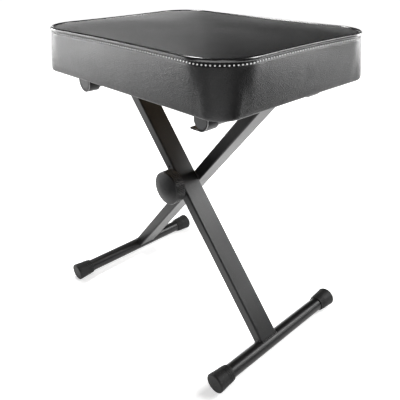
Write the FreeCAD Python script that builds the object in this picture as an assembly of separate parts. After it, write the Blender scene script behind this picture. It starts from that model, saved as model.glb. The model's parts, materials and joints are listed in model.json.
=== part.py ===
"""Folding keyboard bench: two crossed legs, a padded seat and a clamp knob at the pivot.

Sizes are in millimetres. +Z is up, +X runs along the seat's long side and +Y runs away from
the knob. The origin is on the floor, under the pivot, at the middle of the seat's width.

The outer leg (on the knob's side) carries the crossbar that the seat turns on. The inner leg
carries the crossbar that slides under the seat into two hooks. The feet are tubes with caps.
"""

import FreeCAD, Part
import math
import os

V = FreeCAD.Vector

# Legs: lengths along the leg from the pivot, and the flat-sided tube they are cut from
LEG_ANGLE = 49.64
UPPER_ARM = 210.3
LOWER_ARM = 310.7
LEG_THICK = 19.0
LEG_DEPTH = 38.0
LEG_WALL = 1.5
LEG_CORNER = 2.5
LEG_PAIR_Y = -7.0
VENT_HOLE_R = 2.0
VENT_HOLE_UP = 33.0

# Round bars welded across the legs' ends
BAR_R = 12.0
BAR_WALL = 1.5
WELD_GAP = 0.05
PLUG_FLANGE = 1.5
PLUG_BARREL = 12.0
PLUG_CLEARANCE = 0.05

# Foot bars and their rubber caps
FOOT_SPAN = 305.0
OUTER_FOOT_CENTRE_Y = -4.0
INNER_FOOT_CENTRE_Y = -9.5
CAP_LENGTH = 34.0
CAP_END_THICK = 5.0
CAP_MOUTH_WALL = 1.9
CAP_END_R = 17.0
CAP_END_ROUND = 2.5
CAP_CLEARANCE = 0.05
CAP_FLAT = 0.5

# Pivot: bolt, sleeves inside the legs and the washer between them
BOLT_R = 5.0
BOLT_HEAD_R = 8.5
BOLT_HEAD_EDGE = 1.5
BOLT_HEAD_DOME = 3.0
BOLT_TIP = 20.0
BOLT_CHAMFER = 1.0
RUNNING_CLEARANCE = 0.08
THRUST_CLEARANCE = 0.2
SLEEVE_CLEARANCE = 0.1
FRICTION_WASHER_R = 9.2
FRICTION_WASHER_THICK = 1.8
KNOB_WASHER_R = 14.0
KNOB_WASHER_THICK = 2.0

# Clamp knob: sizes out from the outer leg's face
KNOB_R = 28.8
KNOB_BACK = 8.7
KNOB_RIM_DEPTH = 18.5
KNOB_DOME = 2.3
KNOB_EDGE_ROUND = 2.0
KNOB_FRONT_WALL = 4.5
KNOB_RIM_WALL = 3.8
KNOB_HUB_R = 13.0
KNOB_RIBS = 60
KNOB_GROOVE_R = 1.1
KNOB_GROOVE_DEPTH = 0.6
INSERT_R = 8.0
INSERT_LENGTH = 14.0
INSERT_CLEARANCE = 0.03

# Seat: plan width at the side walls, heights above the seat's bottom edge
SEAT_WIDTH = 310.0
SEAM_HEIGHT = 64.2
CROWN = 10.6
BOTTOM_CORNER_R = 29.0
SEAM_CORNER_R = 54.0
BOTTOM_DRAW_IN = 1.0
SEAM_DRAW_IN = 4.0
BOTTOM_ROLL = 1.5
BOTTOM_ROLL_HEIGHT = 4.0
SIDE_BULGE = 0.6
SEAM_ROLL = 0.3
SEAM_ROLL_HEIGHT = 6.0
CROWN_REACH = 0.8
CROWN_STEPS = 5
COVER_THICK = 1.2
COVER_WRAP = 20.0
FOAM_CLEARANCE = 0.3
BOARD_THICK = 12.0
BOARD_INSET = 3.3
PIPING_R = 2.5
PIPING_INSET = 1.0
PIPING_CLEARANCE = 0.3

# Brackets under the board
STRAP_THICK = 2.5
STRAP_WIDTH = 20.0
STRAP_SIDE_CLEARANCE = 13.0
SADDLE_END_CLEARANCE = 5.0
HOOK_END_CLEARANCE = 4.5
STRAP_BEND = 2.0
SADDLE_FLANGE = 20.0
LINER_THICK = 1.2
LINER_CLEARANCE = 0.05
HOOK_CLEARANCE = 0.3
HOOK_LIP = 18.0
HOOK_FLANGE = 30.0
HOOK_SCREW_PITCH = 14.0
HOOK_LINER_THICK = 6.0
HOOK_LINER_REACH = 22.0

# Fasteners in the board
SCREW_R = 3.0
SCREW_LENGTH = 13.5
SCREW_HEAD_R = 5.5
SCREW_HEAD_THICK = 3.2
SCREW_CLEARANCE = 0.3
TEE_NUT_R = 4.0
TEE_NUT_LENGTH = 9.0
TEE_NUT_FLANGE_R = 9.0
TEE_NUT_FLANGE_THICK = 1.2
THREAD_CLEARANCE = 0.05
STAPLE_WIDTH = 10.0
STAPLE_WIRE = 0.9
STAPLE_LEG = 7.0
STAPLE_INSET = 10.0
STAPLES_LONG_SIDE = 7
STAPLES_SHORT_SIDE = 5

# Places worked out from the sizes
ANGLE = math.radians(LEG_ANGLE)
FOOT_Z = CAP_END_R - CAP_FLAT
FOOT_X = LOWER_ARM * math.cos(ANGLE)
PIVOT_Z = FOOT_Z + LOWER_ARM * math.sin(ANGLE)
CROSSBAR_X = UPPER_ARM * math.cos(ANGLE)
CROSSBAR_Z = PIVOT_Z + UPPER_ARM * math.sin(ANGLE)
LEG_GAP = FRICTION_WASHER_THICK + THRUST_CLEARANCE
OUTER_NEAR_Y = LEG_PAIR_Y - LEG_GAP / 2 - LEG_DEPTH
OUTER_FAR_Y = OUTER_NEAR_Y + LEG_DEPTH
INNER_NEAR_Y = OUTER_FAR_Y + LEG_GAP
INNER_FAR_Y = INNER_NEAR_Y + LEG_DEPTH
FOOT_BAR_LENGTH = FOOT_SPAN - 2 * CAP_END_THICK
BOARD_Z = CROSSBAR_Z + BAR_R + HOOK_CLEARANCE + HOOK_LINER_THICK
SEAT_Z = BOARD_Z - COVER_THICK
LINER_R = BAR_R + LINER_THICK
STRAP_IN_R = LINER_R + LINER_CLEARANCE
HOOK_IN_R = BAR_R + HOOK_CLEARANCE
KNOB_WASHER_OUT = THRUST_CLEARANCE + KNOB_WASHER_THICK
HUB_BACK = KNOB_WASHER_OUT + THRUST_CLEARANCE
KNOB_FRONT = KNOB_BACK + KNOB_RIM_DEPTH
STRAP_CENTRE_Y = SEAT_WIDTH / 2 - COVER_WRAP - STRAP_SIDE_CLEARANCE - STRAP_WIDTH / 2
CROSSBAR_LENGTH = 2 * STRAP_CENTRE_Y + STRAP_WIDTH - 2 * PLUG_FLANGE
SADDLE_REACH = STRAP_IN_R + STRAP_THICK + SADDLE_FLANGE
HOOK_REACH = HOOK_IN_R + STRAP_THICK + HOOK_FLANGE
SEAT_LOW_X = -CROSSBAR_X - SADDLE_REACH - SADDLE_END_CLEARANCE - COVER_WRAP
SEAT_HIGH_X = CROSSBAR_X + HOOK_REACH + HOOK_END_CLEARANCE + COVER_WRAP
SEAT_LENGTH = SEAT_HIGH_X - SEAT_LOW_X
SEAT_OFFSET_X = (SEAT_HIGH_X + SEAT_LOW_X) / 2


def box(x0, x1, y0, y1, z0, z1):
    """Box between two corners."""
    return Part.makeBox(x1 - x0, y1 - y0, z1 - z0, V(x0, y0, z0))


def rod_y(x, z, radius, y0, y1):
    """Round bar along Y."""
    return Part.makeCylinder(radius, y1 - y0, V(x, y0, z), V(0, 1, 0))


def rod_z(x, y, radius, z0, z1):
    """Round bar along Z."""
    return Part.makeCylinder(radius, z1 - z0, V(x, y, z0), V(0, 0, 1))


def tube_y(x, z, radius, wall, y0, y1):
    """Round tube along Y."""
    return rod_y(x, z, radius, y0, y1).cut(rod_y(x, z, radius - wall, y0 - 1, y1 + 1))


def turned(profile, x, z, y, outwards):
    """Solid turned about a line along Y, from (radius, distance from y) points and arcs."""
    edges = []
    for item in profile:
        points = [V(x + r, y + outwards * s, z) for r, s in item]
        if len(points) == 3:
            edges.append(Part.Arc(*points).toShape())
        else:
            edges.append(Part.LineSegment(*points).toShape())
    face = Part.Face(Part.Wire(edges))
    return face.revolve(V(x, y, z), V(0, 1, 0), 360)


def leg_placed(shape, side):
    """Lay a shape built along +X at the pivot up the leg; side is -1 outer, +1 inner."""
    turn = -LEG_ANGLE if side > 0 else LEG_ANGLE - 180
    placed = shape.copy()
    placed.rotate(V(0, 0, 0), V(0, 1, 0), turn)
    placed.translate(V(0, 0, PIVOT_Z))
    return placed


def long_edges(shape):
    """Edges of a box that run along X."""
    return [e for e in shape.Edges if abs(e.tangentAt(e.FirstParameter).x) > 0.99]


def leg_tube(side, y0, y1):
    """Flat-sided leg, hollow, its ends coped to sit on the crossbar and the foot bar."""
    half = LEG_THICK / 2
    outside = box(-LOWER_ARM, UPPER_ARM, y0, y1, -half, half)
    outside = outside.makeFillet(LEG_CORNER, long_edges(outside))
    half_in = half - LEG_WALL
    inside = box(-LOWER_ARM, UPPER_ARM, y0 + LEG_WALL, y1 - LEG_WALL, -half_in, half_in)
    inside = inside.makeFillet(LEG_CORNER - LEG_WALL, long_edges(inside))
    tube = leg_placed(outside.cut(inside), side)
    cope = BAR_R + WELD_GAP
    tube = tube.cut(rod_y(side * CROSSBAR_X, CROSSBAR_Z, cope, y0 - 1, y1 + 1))
    return tube.cut(rod_y(-side * FOOT_X, FOOT_Z, cope, y0 - 1, y1 + 1))


def outer_leg_tube():
    """Leg on the knob's side, with the bolt's running holes and a vent hole in its near wall."""
    tube = leg_tube(-1, OUTER_NEAR_Y, OUTER_FAR_Y)
    bore = BOLT_R + RUNNING_CLEARANCE
    tube = tube.cut(rod_y(0, PIVOT_Z, bore, OUTER_NEAR_Y - 1, OUTER_FAR_Y + 1))
    vent = rod_y(VENT_HOLE_UP, 0, VENT_HOLE_R, OUTER_NEAR_Y - 1, OUTER_NEAR_Y + LEG_WALL + 1)
    return tube.cut(leg_placed(vent, -1))


def inner_leg_tube():
    """Far leg, with a square hole in its far wall for the bolt's neck."""
    tube = leg_tube(1, INNER_NEAR_Y, INNER_FAR_Y)
    bore = BOLT_R + RUNNING_CLEARANCE
    tube = tube.cut(rod_y(0, PIVOT_Z, bore, INNER_NEAR_Y - 1, INNER_NEAR_Y + LEG_WALL + 1))
    return tube.cut(bolt_neck(RUNNING_CLEARANCE, 1.0))


def bolt_neck(clearance, over):
    """Square under the bolt's head, lying along the inner leg, as deep as the leg's wall."""
    half = BOLT_R + clearance
    neck = box(-half, half, INNER_FAR_Y - LEG_WALL - over, INNER_FAR_Y + over, -half, half)
    return leg_placed(neck, 1)


def pivot_bolt():
    """Round-headed bolt from the inner leg's far face, out to the knob."""
    tip_y = OUTER_NEAR_Y - BOLT_TIP
    shank = rod_y(0, PIVOT_Z, BOLT_R, tip_y, INNER_FAR_Y + BOLT_HEAD_EDGE)
    tip = [e for e in shank.Edges if abs(e.BoundBox.YMax - tip_y) < 1e-6]
    shank = shank.makeChamfer(BOLT_CHAMFER, tip)
    rim, top = BOLT_HEAD_EDGE, BOLT_HEAD_EDGE + BOLT_HEAD_DOME
    sphere_r = (BOLT_HEAD_R**2 + BOLT_HEAD_DOME**2) / (2 * BOLT_HEAD_DOME)
    mid_r = BOLT_HEAD_R / 2
    mid = top - sphere_r + math.sqrt(sphere_r**2 - mid_r**2)
    head = turned(
        [
            [(0, 0), (BOLT_HEAD_R, 0)],
            [(BOLT_HEAD_R, 0), (BOLT_HEAD_R, rim)],
            [(BOLT_HEAD_R, rim), (mid_r, mid), (0, top)],
            [(0, top), (0, 0)],
        ],
        0, PIVOT_Z, INNER_FAR_Y, 1,
    )
    return shank.fuse(bolt_neck(0, 0)).fuse(head).removeSplitter()


def pivot_sleeve(y0, y1):
    """Steel sleeve between a leg's walls, so that the clamp can't crush the tube."""
    outer = LEG_THICK / 2 - LEG_CORNER - SLEEVE_CLEARANCE
    wall = outer - BOLT_R - RUNNING_CLEARANCE
    return tube_y(0, PIVOT_Z, outer, wall, y0 + LEG_WALL, y1 - LEG_WALL)


def washer(radius, bore, y0, y1):
    """Flat washer on the pivot."""
    return tube_y(0, PIVOT_Z, radius, radius - bore, y0, y1)


def knob_body():
    """Clamp knob: a cup with a hub, a low domed face and grooves round its rim."""
    dome_r = KNOB_R - KNOB_EDGE_ROUND
    sphere_r = (dome_r**2 + KNOB_DOME**2) / (2 * KNOB_DOME)
    mid = KNOB_FRONT + KNOB_DOME - sphere_r + math.sqrt(sphere_r**2 - (dome_r / 2) ** 2)
    edge = KNOB_FRONT - KNOB_EDGE_ROUND
    bulge = KNOB_EDGE_ROUND * math.sqrt(0.5)
    floor = KNOB_FRONT - KNOB_FRONT_WALL
    rim_in = KNOB_R - KNOB_RIM_WALL
    body = turned(
        [
            [(0, HUB_BACK), (KNOB_HUB_R, HUB_BACK)],
            [(KNOB_HUB_R, HUB_BACK), (KNOB_HUB_R, floor)],
            [(KNOB_HUB_R, floor), (rim_in, floor)],
            [(rim_in, floor), (rim_in, KNOB_BACK)],
            [(rim_in, KNOB_BACK), (KNOB_R, KNOB_BACK)],
            [(KNOB_R, KNOB_BACK), (KNOB_R, edge)],
            [(KNOB_R, edge), (dome_r + bulge, edge + bulge), (dome_r, KNOB_FRONT)],
            [(dome_r, KNOB_FRONT), (dome_r / 2, mid), (0, KNOB_FRONT + KNOB_DOME)],
            [(0, KNOB_FRONT + KNOB_DOME), (0, HUB_BACK)],
        ],
        0, PIVOT_Z, OUTER_NEAR_Y, -1,
    )
    centre_r = KNOB_R - KNOB_GROOVE_DEPTH + KNOB_GROOVE_R
    grooves = []
    for i in range(KNOB_RIBS):
        turn = 2 * math.pi * i / KNOB_RIBS
        x = centre_r * math.cos(turn)
        z = PIVOT_Z + centre_r * math.sin(turn)
        y0 = OUTER_NEAR_Y - edge
        grooves.append(rod_y(x, z, KNOB_GROOVE_R, y0, OUTER_NEAR_Y - KNOB_BACK + 1))
    body = body.cut(Part.makeCompound(grooves))
    seat = INSERT_R + INSERT_CLEARANCE
    y_back = OUTER_NEAR_Y - HUB_BACK
    body = body.cut(rod_y(0, PIVOT_Z, seat, y_back - INSERT_LENGTH, y_back + 1))
    tip_r = BOLT_R + SCREW_CLEARANCE
    tip_end = OUTER_NEAR_Y - BOLT_TIP - 1
    return body.cut(rod_y(0, PIVOT_Z, tip_r, tip_end, y_back))


def knob_insert():
    """Threaded metal insert in the knob's hub."""
    y_back = OUTER_NEAR_Y - HUB_BACK
    bore = BOLT_R + RUNNING_CLEARANCE
    return tube_y(0, PIVOT_Z, INSERT_R, INSERT_R - bore, y_back - INSERT_LENGTH, y_back)


def crossbar(x):
    """Tube across the top of a leg."""
    half = CROSSBAR_LENGTH / 2
    return tube_y(x, CROSSBAR_Z, BAR_R, BAR_WALL, -half, half)


def crossbar_plugs(x):
    """Plastic plug in each end of a crossbar."""
    barrel_r = BAR_R - BAR_WALL - PLUG_CLEARANCE
    edge = PLUG_FLANGE / 2
    plugs = []
    for outwards in (-1, 1):
        plug = turned(
            [
                [(0, -PLUG_BARREL), (barrel_r, -PLUG_BARREL)],
                [(barrel_r, -PLUG_BARREL), (barrel_r, 0)],
                [(barrel_r, 0), (BAR_R, 0)],
                [(BAR_R, 0), (BAR_R, edge)],
                [(BAR_R, edge), (BAR_R - edge, PLUG_FLANGE)],
                [(BAR_R - edge, PLUG_FLANGE), (0, PLUG_FLANGE)],
                [(0, PLUG_FLANGE), (0, -PLUG_BARREL)],
            ],
            x, CROSSBAR_Z, outwards * CROSSBAR_LENGTH / 2, outwards,
        )
        plugs.append(plug)
    return Part.makeCompound(plugs)


def foot_bar(x, centre_y):
    """Tube across the bottom of a leg."""
    half = FOOT_BAR_LENGTH / 2
    return tube_y(x, FOOT_Z, BAR_R, BAR_WALL, centre_y - half, centre_y + half)


def foot_cap(x, centre_y, outwards):
    """Flared rubber cap on a foot bar's end, with a narrow flat that stands on the floor."""
    bore = BAR_R + CAP_CLEARANCE
    mouth_r = bore + CAP_MOUTH_WALL
    depth = CAP_LENGTH - CAP_END_THICK
    round_s = CAP_LENGTH - CAP_END_ROUND
    round_r = CAP_END_R - CAP_END_ROUND
    bulge = CAP_END_ROUND * math.sqrt(0.5)
    lead = CAP_MOUTH_WALL / 3
    cap = turned(
        [
            [(bore, 0), (mouth_r - lead, 0)],
            [(mouth_r - lead, 0), (mouth_r, lead)],
            [(mouth_r, lead), (CAP_END_R, round_s)],
            [(CAP_END_R, round_s), (round_r + bulge, round_s + bulge), (round_r, CAP_LENGTH)],
            [(round_r, CAP_LENGTH), (0, CAP_LENGTH)],
            [(0, CAP_LENGTH), (0, depth)],
            [(0, depth), (bore, depth)],
            [(bore, depth), (bore, 0)],
        ],
        x, FOOT_Z, centre_y + outwards * (FOOT_SPAN / 2 - CAP_LENGTH), outwards,
    )
    under = box(x - CAP_END_R, x + CAP_END_R, -FOOT_SPAN, FOOT_SPAN, -CAP_END_R, 0)
    return cap.cut(under)


def side_arc(half, corner, draw_in):
    """Radius of a side that bows inwards by draw_in and meets its corner arcs smoothly."""
    reach = half - corner
    return (reach**2 + draw_in**2) / (2 * draw_in) - corner


def outline(z, inset, corner, draw_in):
    """Seat outline at a height: four rounded corners joined by sides that pull in."""
    half_x = SEAT_LENGTH / 2 - inset
    half_y = SEAT_WIDTH / 2 - inset
    long_r = side_arc(half_x, corner, draw_in)
    short_r = side_arc(half_y, corner, draw_in)
    corner_x = half_x - corner
    corner_y = half_y - corner
    long_c = (0, half_y - draw_in + long_r)
    short_c = (half_x - draw_in + short_r, 0)

    def touch(centre, radius):
        """Point where a side's arc meets the corner's arc."""
        share = radius / (radius + corner)
        x = centre[0] + (corner_x - centre[0]) * share
        y = centre[1] + (corner_y - centre[1]) * share
        return (x, y)

    on_long = touch(long_c, long_r)
    on_short = touch(short_c, short_r)
    nose_x = on_long[0] + on_short[0] - 2 * corner_x
    nose_y = on_long[1] + on_short[1] - 2 * corner_y
    nose = corner / math.hypot(nose_x, nose_y)
    apex = (corner_x + nose_x * nose, corner_y + nose_y * nose)

    def at(point, sx, sy):
        """Corner point mirrored into a quarter of the seat."""
        return V(SEAT_OFFSET_X + sx * point[0], sy * point[1], z)

    mid_long = (0, half_y - draw_in)
    mid_short = (half_x - draw_in, 0)
    edges = [
        Part.Arc(at(on_short, 1, -1), at(mid_short, 1, 1), at(on_short, 1, 1)),
        Part.Arc(at(on_short, 1, 1), at(apex, 1, 1), at(on_long, 1, 1)),
        Part.Arc(at(on_long, 1, 1), at(mid_long, 1, 1), at(on_long, -1, 1)),
        Part.Arc(at(on_long, -1, 1), at(apex, -1, 1), at(on_short, -1, 1)),
        Part.Arc(at(on_short, -1, 1), at(mid_short, -1, 1), at(on_short, -1, -1)),
        Part.Arc(at(on_short, -1, -1), at(apex, -1, -1), at(on_long, -1, -1)),
        Part.Arc(at(on_long, -1, -1), at(mid_long, 1, -1), at(on_long, 1, -1)),
        Part.Arc(at(on_long, 1, -1), at(apex, 1, -1), at(on_short, 1, -1)),
    ]
    return Part.Wire([edge.toShape() for edge in edges])


def cushion(skin):
    """Closed cushion with straight sides and a crown, drawn in all round by skin."""
    seam_corner = SEAM_CORNER_R - skin
    bottom_corner = BOTTOM_CORNER_R - skin
    mid_corner = (seam_corner + bottom_corner) / 2
    mid_draw = (BOTTOM_DRAW_IN + SEAM_DRAW_IN) / 2
    seam_z = SEAT_Z + SEAM_HEIGHT
    walls = [
        outline(SEAT_Z + skin, skin + BOTTOM_ROLL, bottom_corner, BOTTOM_DRAW_IN),
        outline(SEAT_Z + skin + BOTTOM_ROLL_HEIGHT, skin, bottom_corner, BOTTOM_DRAW_IN),
        outline(SEAT_Z + SEAM_HEIGHT / 2, skin - SIDE_BULGE, mid_corner, mid_draw),
        outline(seam_z - SEAM_ROLL_HEIGHT, skin + SEAM_ROLL, seam_corner, SEAM_DRAW_IN),
        outline(seam_z, skin + PIPING_INSET, seam_corner, SEAM_DRAW_IN),
    ]
    half_y = SEAT_WIDTH / 2 - skin - PIPING_INSET
    top = [walls[-1]]
    for step in range(1, CROWN_STEPS + 1):
        share = step / CROWN_STEPS
        inset = share * CROWN_REACH * half_y
        left = 1 - inset / half_y
        z = seam_z + (CROWN - skin) * (1 - (1 - share) ** 2)
        top.append(outline(z, skin + PIPING_INSET + inset, seam_corner * left, SEAM_DRAW_IN * left))
    side_wall = Part.makeLoft(walls, True, False)
    crown = Part.makeLoft(top, True, False)
    return side_wall.fuse(crown).removeSplitter()


def piping_ring(clearance):
    """Round welt along the seam between the seat's sides and its top."""
    z = SEAT_Z + SEAM_HEIGHT
    path = outline(z, PIPING_INSET, SEAM_CORNER_R, SEAM_DRAW_IN)
    start = path.Edges[0]
    point = start.valueAt(start.FirstParameter)
    along = start.tangentAt(start.FirstParameter)
    ring = Part.Wire(Part.makeCircle(PIPING_R + clearance, point, along))
    return Part.Wire(path.Edges).makePipeShell([ring], True, True)


def seat_cover():
    """Upholstery skin over the foam, wrapped round the board's edge to its underside."""
    hollow = cushion(COVER_THICK).cut(piping_ring(COVER_THICK))
    cover = cushion(0).cut(hollow)
    opening_corner = BOTTOM_CORNER_R - COVER_WRAP
    opening = Part.Face(outline(SEAT_Z - 1, COVER_WRAP, opening_corner, BOTTOM_DRAW_IN))
    cover = cover.cut(opening.extrude(V(0, 0, COVER_THICK + 2)))
    return cover.cut(piping_ring(PIPING_CLEARANCE))


def seat_foam():
    """Foam block that fills the cover above the board."""
    foam = cushion(COVER_THICK + FOAM_CLEARANCE)
    reach = SEAT_LENGTH
    foam = foam.cut(box(-reach, reach, -reach, reach, SEAT_Z - 1, BOARD_Z + BOARD_THICK))
    return foam.cut(piping_ring(COVER_THICK + FOAM_CLEARANCE))


def screw_places():
    """Centre of every bracket screw: two in each hook's flange, one each side of a saddle."""
    saddle_out = SADDLE_REACH - SADDLE_FLANGE / 2
    hook_mid = CROSSBAR_X + HOOK_REACH - HOOK_FLANGE / 2
    saddles, hooks = [], []
    for y in (-STRAP_CENTRE_Y, STRAP_CENTRE_Y):
        for side in (-1, 1):
            saddles.append((-CROSSBAR_X + side * saddle_out, y))
            hooks.append((hook_mid + side * HOOK_SCREW_PITCH / 2, y))
    return saddles, hooks


def seat_board():
    """Plywood board with a bore and a counterbore for each tee nut."""
    face = Part.Face(outline(BOARD_Z, BOARD_INSET, BOTTOM_CORNER_R - BOARD_INSET, BOTTOM_DRAW_IN))
    board = face.extrude(V(0, 0, BOARD_THICK))
    top = BOARD_Z + BOARD_THICK
    sink = top - TEE_NUT_FLANGE_THICK - THREAD_CLEARANCE
    saddles, hooks = screw_places()
    for x, y in saddles + hooks:
        board = board.cut(rod_z(x, y, TEE_NUT_R + THREAD_CLEARANCE, BOARD_Z - 1, top + 1))
        board = board.cut(rod_z(x, y, TEE_NUT_FLANGE_R + THREAD_CLEARANCE, sink, top + 1))
    return board


def tee_nuts():
    """Threaded tee nuts pressed into the board from above."""
    top = BOARD_Z + BOARD_THICK
    saddles, hooks = screw_places()
    nuts = []
    for x, y in saddles + hooks:
        barrel = rod_z(x, y, TEE_NUT_R, top - TEE_NUT_LENGTH, top)
        flange = rod_z(x, y, TEE_NUT_FLANGE_R, top - TEE_NUT_FLANGE_THICK, top)
        bore = rod_z(x, y, SCREW_R + THREAD_CLEARANCE, BOARD_Z, top + 1)
        nuts.append(barrel.fuse(flange).cut(bore).removeSplitter())
    return Part.makeCompound(nuts)


def bracket_screws():
    """Pan-head machine screws, up through the brackets' flanges into the tee nuts."""
    seat = BOARD_Z - STRAP_THICK
    saddles, hooks = screw_places()
    screws = []
    for x, y in saddles + hooks:
        head = rod_z(x, y, SCREW_HEAD_R, seat - SCREW_HEAD_THICK, seat)
        rim = [e for e in head.Edges if abs(e.BoundBox.ZMax - (seat - SCREW_HEAD_THICK)) < 1e-6]
        head = head.makeFillet(SCREW_HEAD_THICK / 2, rim)
        shank = rod_z(x, y, SCREW_R, seat, seat + SCREW_LENGTH)
        screws.append(head.fuse(shank).removeSplitter())
    return Part.makeCompound(screws)


def edges_along_y(shape, places):
    """Edges along Y that stand at the given (x, z) places."""
    found = []
    for edge in shape.Edges:
        start, end = edge.Vertexes[0].Point, edge.Vertexes[-1].Point
        if math.hypot(start.x - end.x, start.z - end.z) > 1e-4 or abs(start.y - end.y) < 1:
            continue
        if any(math.hypot(start.x - x, start.z - z) < 1e-3 for x, z in places):
            found.append(edge)
    return found


def saddle(y):
    """U-shaped strap that holds the outer leg's crossbar, with a flange on each side."""
    y0, y1 = y - STRAP_WIDTH / 2, y + STRAP_WIDTH / 2
    x, z = -CROSSBAR_X, CROSSBAR_Z
    out_r = STRAP_IN_R + STRAP_THICK
    under = BOARD_Z - STRAP_THICK
    body = rod_y(x, z, out_r, y0, y1).fuse(box(x - out_r, x + out_r, y0, y1, z, BOARD_Z))
    body = body.fuse(box(x - SADDLE_REACH, x + SADDLE_REACH, y0, y1, under, BOARD_Z))
    body = body.removeSplitter()
    body = body.makeFillet(STRAP_BEND, edges_along_y(body, [(x - out_r, under), (x + out_r, under)]))
    hollow = rod_y(x, z, STRAP_IN_R, y0 - 1, y1 + 1)
    hollow = hollow.fuse(box(x - STRAP_IN_R, x + STRAP_IN_R, y0 - 1, y1 + 1, z, BOARD_Z + 1))
    body = body.cut(hollow)
    for sx, sy in screw_places()[0]:
        body = body.cut(rod_z(sx, sy, SCREW_R + SCREW_CLEARANCE, under - 1, BOARD_Z + 1))
    return body.removeSplitter()


def saddle_liners():
    """Nylon blocks between the saddles and the crossbar that turns in them."""
    x, z = -CROSSBAR_X, CROSSBAR_Z
    liners = []
    for y in (-STRAP_CENTRE_Y, STRAP_CENTRE_Y):
        y0, y1 = y - STRAP_WIDTH / 2, y + STRAP_WIDTH / 2
        block = rod_y(x, z, LINER_R, y0, y1).fuse(box(x - LINER_R, x + LINER_R, y0, y1, z, BOARD_Z))
        bore = rod_y(x, z, BAR_R + RUNNING_CLEARANCE, y0 - 1, y1 + 1)
        liners.append(block.cut(bore).removeSplitter())
    return Part.makeCompound(liners)


def hook(y):
    """J-shaped strap that the inner leg's crossbar bears against, open towards the saddles."""
    y0, y1 = y - STRAP_WIDTH / 2, y + STRAP_WIDTH / 2
    x, z = CROSSBAR_X, CROSSBAR_Z
    out_r = HOOK_IN_R + STRAP_THICK
    under = BOARD_Z - STRAP_THICK
    body = rod_y(x, z, out_r, y0, y1).fuse(box(x, x + out_r, y0, y1, z, BOARD_Z))
    body = body.fuse(box(x, x + HOOK_REACH, y0, y1, under, BOARD_Z))
    body = body.fuse(box(x - HOOK_LIP, x, y0, y1, z - out_r, z - HOOK_IN_R)).removeSplitter()
    body = body.makeFillet(STRAP_BEND, edges_along_y(body, [(x + out_r, under)]))
    hollow = rod_y(x, z, HOOK_IN_R, y0 - 1, y1 + 1)
    hollow = hollow.fuse(box(x - 1, x + HOOK_IN_R, y0 - 1, y1 + 1, z, BOARD_Z + 1))
    hollow = hollow.fuse(box(x - out_r - HOOK_LIP, x, y0 - 1, y1 + 1, z - HOOK_IN_R, BOARD_Z + 1))
    body = body.cut(hollow)
    for sx, sy in screw_places()[1]:
        body = body.cut(rod_z(sx, sy, SCREW_R + SCREW_CLEARANCE, under - 1, BOARD_Z + 1))
    return body.removeSplitter()


def hook_liners():
    """Nylon blocks between the board and the crossbar that rests in the hooks."""
    x = CROSSBAR_X
    liners = []
    for y in (-STRAP_CENTRE_Y, STRAP_CENTRE_Y):
        y0, y1 = y - STRAP_WIDTH / 2, y + STRAP_WIDTH / 2
        x0, x1 = x - HOOK_LINER_REACH, x + HOOK_IN_R - LINER_CLEARANCE
        liners.append(box(x0, x1, y0, y1, BOARD_Z - HOOK_LINER_THICK, BOARD_Z))
    return Part.makeCompound(liners)


def staple(x, y, along_x):
    """Staple through the cover's wrapped edge into the board."""
    half, wire = STAPLE_WIDTH / 2, STAPLE_WIRE
    crown = box(-half, half, -wire / 2, wire / 2, -wire, 0)
    shape = crown
    for side in (-1, 1):
        middle = side * (half - wire / 2)
        shape = shape.fuse(box(middle - wire / 2, middle + wire / 2, -wire / 2, wire / 2, -wire, STAPLE_LEG))
    shape = shape.removeSplitter()
    if not along_x:
        shape.rotate(V(0, 0, 0), V(0, 0, 1), 90)
    shape.translate(V(x, y, SEAT_Z))
    return shape


def cover_staples():
    """Row of staples along each side of the board's underside."""
    run_x = SEAT_LENGTH / 2 - BOTTOM_CORNER_R - STAPLE_WIDTH
    run_y = SEAT_WIDTH / 2 - BOTTOM_CORNER_R - STAPLE_WIDTH
    edge_x = SEAT_LENGTH / 2 - STAPLE_INSET
    edge_y = SEAT_WIDTH / 2 - STAPLE_INSET
    staples = []
    for side in (-1, 1):
        for i in range(STAPLES_LONG_SIDE):
            x = SEAT_OFFSET_X - run_x + 2 * run_x * i / (STAPLES_LONG_SIDE - 1)
            staples.append(staple(x, side * edge_y, True))
        for i in range(STAPLES_SHORT_SIDE):
            y = -run_y + 2 * run_y * i / (STAPLES_SHORT_SIDE - 1)
            staples.append(staple(SEAT_OFFSET_X + side * edge_x, y, False))
    return Part.makeCompound(staples)


def leg_nodes():
    """Everything on the two legs and the pivot, knob apart."""
    bolt_bore = BOLT_R + RUNNING_CLEARANCE
    return {
        "outer_leg_tube": outer_leg_tube(),
        "outer_crossbar": crossbar(-CROSSBAR_X),
        "outer_crossbar_plugs": crossbar_plugs(-CROSSBAR_X),
        "outer_foot_bar": foot_bar(FOOT_X, OUTER_FOOT_CENTRE_Y),
        "outer_foot_cap_near": foot_cap(FOOT_X, OUTER_FOOT_CENTRE_Y, -1),
        "outer_foot_cap_far": foot_cap(FOOT_X, OUTER_FOOT_CENTRE_Y, 1),
        "outer_pivot_sleeve": pivot_sleeve(OUTER_NEAR_Y, OUTER_FAR_Y),
        "friction_washer": washer(
            FRICTION_WASHER_R, bolt_bore, OUTER_FAR_Y, OUTER_FAR_Y + FRICTION_WASHER_THICK
        ),
        "inner_leg_tube": inner_leg_tube(),
        "inner_crossbar": crossbar(CROSSBAR_X),
        "inner_crossbar_plugs": crossbar_plugs(CROSSBAR_X),
        "inner_foot_bar": foot_bar(-FOOT_X, INNER_FOOT_CENTRE_Y),
        "inner_foot_cap_near": foot_cap(-FOOT_X, INNER_FOOT_CENTRE_Y, -1),
        "inner_foot_cap_far": foot_cap(-FOOT_X, INNER_FOOT_CENTRE_Y, 1),
        "inner_pivot_sleeve": pivot_sleeve(INNER_NEAR_Y, INNER_FAR_Y),
        "pivot_bolt": pivot_bolt(),
    }


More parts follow.
